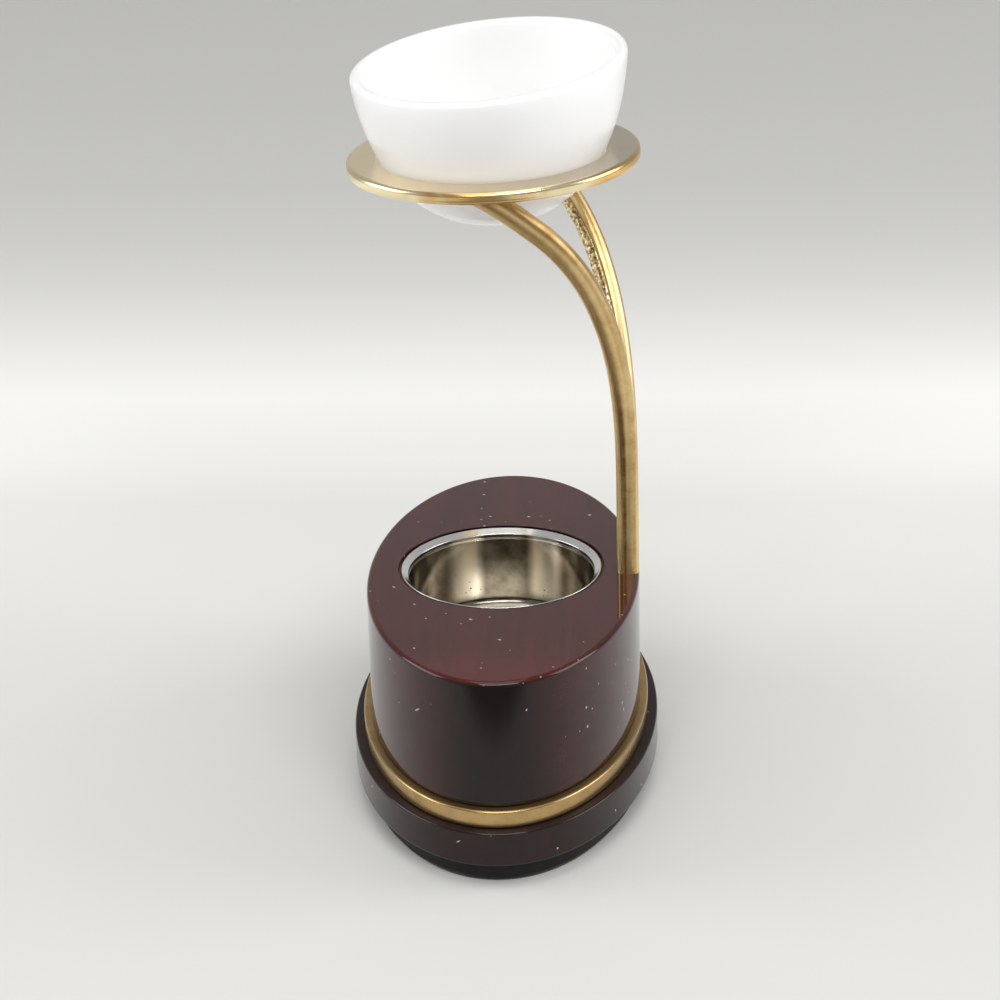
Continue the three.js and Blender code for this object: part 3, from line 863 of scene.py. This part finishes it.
foot_angle = -math.degrees(math.acos(FOOT_RADIUS / BALL_OUTER))
floor_angle = -math.degrees(math.asin(-FLOOR_HEIGHT / BALL_INNER))
lip_centre = arc(WALL_CENTRE, WALL_OUTER - LIP_RADIUS, WALL_TOP_ANGLE, WALL_TOP_ANGLE, 1)[0]
bowl_section = [Vector((FOOT_INNER, FOOT_HEIGHT)), Vector((FOOT_RADIUS - FOOT_ROUND, FOOT_HEIGHT))]
bowl_section += arc(Vector((0, 0)), BALL_OUTER, foot_angle + 0.5, SEAT_ANGLE, BALL_STEPS)
bowl_section += arc(WALL_CENTRE, WALL_OUTER, SEAT_ANGLE, WALL_TOP_ANGLE, WALL_STEPS)[1:]
bowl_section += arc(lip_centre, LIP_RADIUS, WALL_TOP_ANGLE, WALL_TOP_ANGLE + 180, LIP_STEPS)[1:]
bowl_section += arc(WALL_CENTRE, WALL_INNER, WALL_TOP_ANGLE, SEAT_ANGLE, WALL_STEPS)[1:]
bowl_section += arc(Vector((0, 0)), BALL_INNER, SEAT_ANGLE, floor_angle, BALL_STEPS)[1:]
bowl_section += [Vector((FOOT_INNER, FLOOR_HEIGHT))]


def bowl_point(x, y, z):
    """A point of the bowl in the world: the wall rises more on one side, so the rim is slanted."""
    rise = max(z + SLANT_START, 0) / SLANT_REACH
    return (BOWL_CENTRE + Vector((x, y, z + (SLANT_X * x + SLANT_Y * y) * rise * rise))) * MM


bowl_rows = [[bowl_point(0, 0, FOOT_HEIGHT)]]
for radius, height in bowl_section:
    turns = [2 * math.pi * step / OVAL_POINTS for step in range(OVAL_POINTS)]
    bowl_rows.append([bowl_point(radius * math.cos(turn), radius * math.sin(turn), height) for turn in turns])
bowl_rows.append([bowl_point(0, 0, FLOOR_HEIGHT)])
bowl = loft("oil_bowl_cast", bowl_rows)
glaze_finish, glaze_shader, glaze_place = new_finish("white_gloss_glaze", {
    "IOR": 1.5,
    "Subsurface Weight": 1.0,
    "Subsurface Radius": (1, 1, 1),
    "Subsurface Scale": 0.006,
})
glaze_pool = glaze_place.clouds(70, 3)
feed(glaze_shader, {
    "Base Color": glaze_pool.between(0.3, 0.7).mixed(GLAZE_SHADE, GLAZE_WHITE),
    "Roughness": 0.16 + glaze_place.clouds(180, 3) * 0.08,
    "Normal": (glaze_place.clouds(120, 2) + glaze_place.clouds(900, 2) * 0.06).bump(0.12, 0.0002),
})
bowl.data.materials.append(glaze_finish)
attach(bowl, "bowl")
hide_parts("oil_bowl")

# Studio
# A plain pale sheet for the floor that sweeps up far behind, under a soft light from above and from both sides.
# Its colour is painted light, palest a little behind the burner and greyer further back, as in the photograph.
# A darker patch in front of the picture is painted shade that gives the gloss something to mirror.
SHEET_HALF = 3.0
SHEET_FRONT = -2.5
SHEET_BACK = 1.3
SWEEP_RADIUS = 0.7
SHEET_TOP = 2.4
FLOOR_DROP = -0.00002
SHEET_FAR_LOW = -1.0
SHEET_FAR_HIGH = 2.0
PATCH_MIDDLE = -0.02
PATCH_SIDE = (0.08, 0.2)
PATCH_BACK = (-0.14, -0.107)
PAINTED_SHADE_TONE = (0.22, 0.22, 0.215, 1)
SHEET_PAINTED_LIGHT_TONES = [(-0.9, 0.7), (-0.112, 0.71), (0.06, 0.73), (0.15, 0.81), (0.18, 0.9), (0.235, 0.95), (0.3, 0.79),
               (0.34, 0.71), (0.39, 0.65), (0.45, 0.62), (0.57, 0.62), (0.75, 0.65), (1.6, 0.85)]
SWEEP_STEPS = 24
WORLD_LEVEL = 0.36
LAMPS = [
    ("top_light", (0.0, -0.25, 1.6), (0, 0.05, 0.05), 1.1, 1.1, 6.3),
    ("front_light", (0.15, -1.2, 1.1), (0, 0, 0.12), 1.4, 0.35, 13.0),
    ("left_light", (-1.0, 0.05, 0.45), (0, 0, 0.1), 0.7, 0.6, 3.8),
    ("right_light", (1.0, 0.1, 0.45), (0, 0, 0.1), 0.7, 0.6, 4.2),
]

sheet_line = [(SHEET_FRONT, FLOOR_DROP), (SHEET_BACK, FLOOR_DROP)]
for step in range(1, SWEEP_STEPS + 1):
    turn = math.pi / 2 * step / SWEEP_STEPS
    sheet_line.append((SHEET_BACK + SWEEP_RADIUS * math.sin(turn),
                       FLOOR_DROP + SWEEP_RADIUS * (1 - math.cos(turn))))
sheet_line.append((SHEET_BACK + SWEEP_RADIUS, SHEET_TOP))
sheet_points = [(x, y, z) for y, z in sheet_line for x in (-SHEET_HALF, SHEET_HALF)]
sheet_faces = [(2 * i, 2 * i + 1, 2 * i + 3, 2 * i + 2) for i in range(len(sheet_line) - 1)]
sheet_mesh = bpy.data.meshes.new("studio_sheet")
sheet_mesh.from_pydata(sheet_points, [], sheet_faces)
sheet_mesh.shade_smooth()
studio_sheet = bpy.data.objects.new("studio_sheet", sheet_mesh)
bpy.context.scene.collection.objects.link(studio_sheet)
sheet_finish, sheet_shader, sheet_place = new_finish("pale_paper", {
    "Roughness": 0.6,
    "Specular IOR Level": 0.2,
})
sheet_y = sheet_place.axis(1)
sheet_share = (sheet_y - SHEET_FAR_LOW) / (SHEET_FAR_HIGH - SHEET_FAR_LOW)
sheet_stops = []
# Painted light: the sheet's tone by how far back it lies.
for reach, tone in SHEET_PAINTED_LIGHT_TONES:
    share = (reach - SHEET_FAR_LOW) / (SHEET_FAR_HIGH - SHEET_FAR_LOW)
    sheet_stops.append((share, (tone, tone * 0.995, tone * 0.965, 1)))
sheet_painted_light = sheet_share.node("ShaderNodeValToRGB", {"stops": sheet_stops}, {0: sheet_share})
# Painted shade: a darker patch on the floor in front.
patch_reach = abs(sheet_place.axis(0) - PATCH_MIDDLE)
sheet_painted_shade = (1 - patch_reach.between(*PATCH_SIDE)) * (1 - sheet_y.between(*PATCH_BACK))
feed(sheet_shader, {"Base Color": sheet_painted_shade.mixed(sheet_painted_light, PAINTED_SHADE_TONE)})
studio_sheet.data.materials.append(sheet_finish)

world = bpy.data.worlds.new("studio_air")
bpy.context.scene.world = world
world.use_nodes = True
world.node_tree.nodes["Background"].inputs["Color"].default_value = (1, 1, 1, 1)
world.node_tree.nodes["Background"].inputs["Strength"].default_value = WORLD_LEVEL


def soft_box(name, place, aim, width, height, power):
    """A large soft lamp at a place, turned to a point."""
    lamp = bpy.data.lights.new(name, "AREA")
    lamp.shape = "RECTANGLE"
    lamp.size = width
    lamp.size_y = height
    lamp.energy = power
    holder = bpy.data.objects.new(name, lamp)
    holder.location = place
    holder.rotation_euler = (Vector(aim) - Vector(place)).to_track_quat("-Z", "Y").to_euler()
    bpy.context.scene.collection.objects.link(holder)


for lamp_values in LAMPS:
    soft_box(*lamp_values)

# Camera
# It stands in front of the burner and above it, a little to the right, where the photograph was taken from.
# A long lens keeps the sides nearly parallel.
CAMERA_PLACE = Vector((31.508, -604.050, 311.917)) * MM
CAMERA_RIGHT = Vector((0.998795, 0.042697, -0.024198))
CAMERA_UP = Vector((0.006054, 0.382112, 0.924096))
CAMERA_AHEAD = Vector((-0.048702, 0.923129, -0.381393))
CAMERA_LENS = 108.003
CAMERA_SENSOR = 36.0

camera_data = bpy.data.cameras.new("photo_camera")
camera_data.lens = CAMERA_LENS
camera_data.sensor_width = CAMERA_SENSOR
camera = bpy.data.objects.new("photo_camera", camera_data)
camera_turn = Matrix((CAMERA_RIGHT, CAMERA_UP, -CAMERA_AHEAD)).transposed()
camera.matrix_world = Matrix.Translation(CAMERA_PLACE) @ camera_turn.to_4x4()
bpy.context.scene.collection.objects.link(camera)
bpy.context.scene.camera = camera
bpy.context.scene.view_settings.view_transform = "Standard"
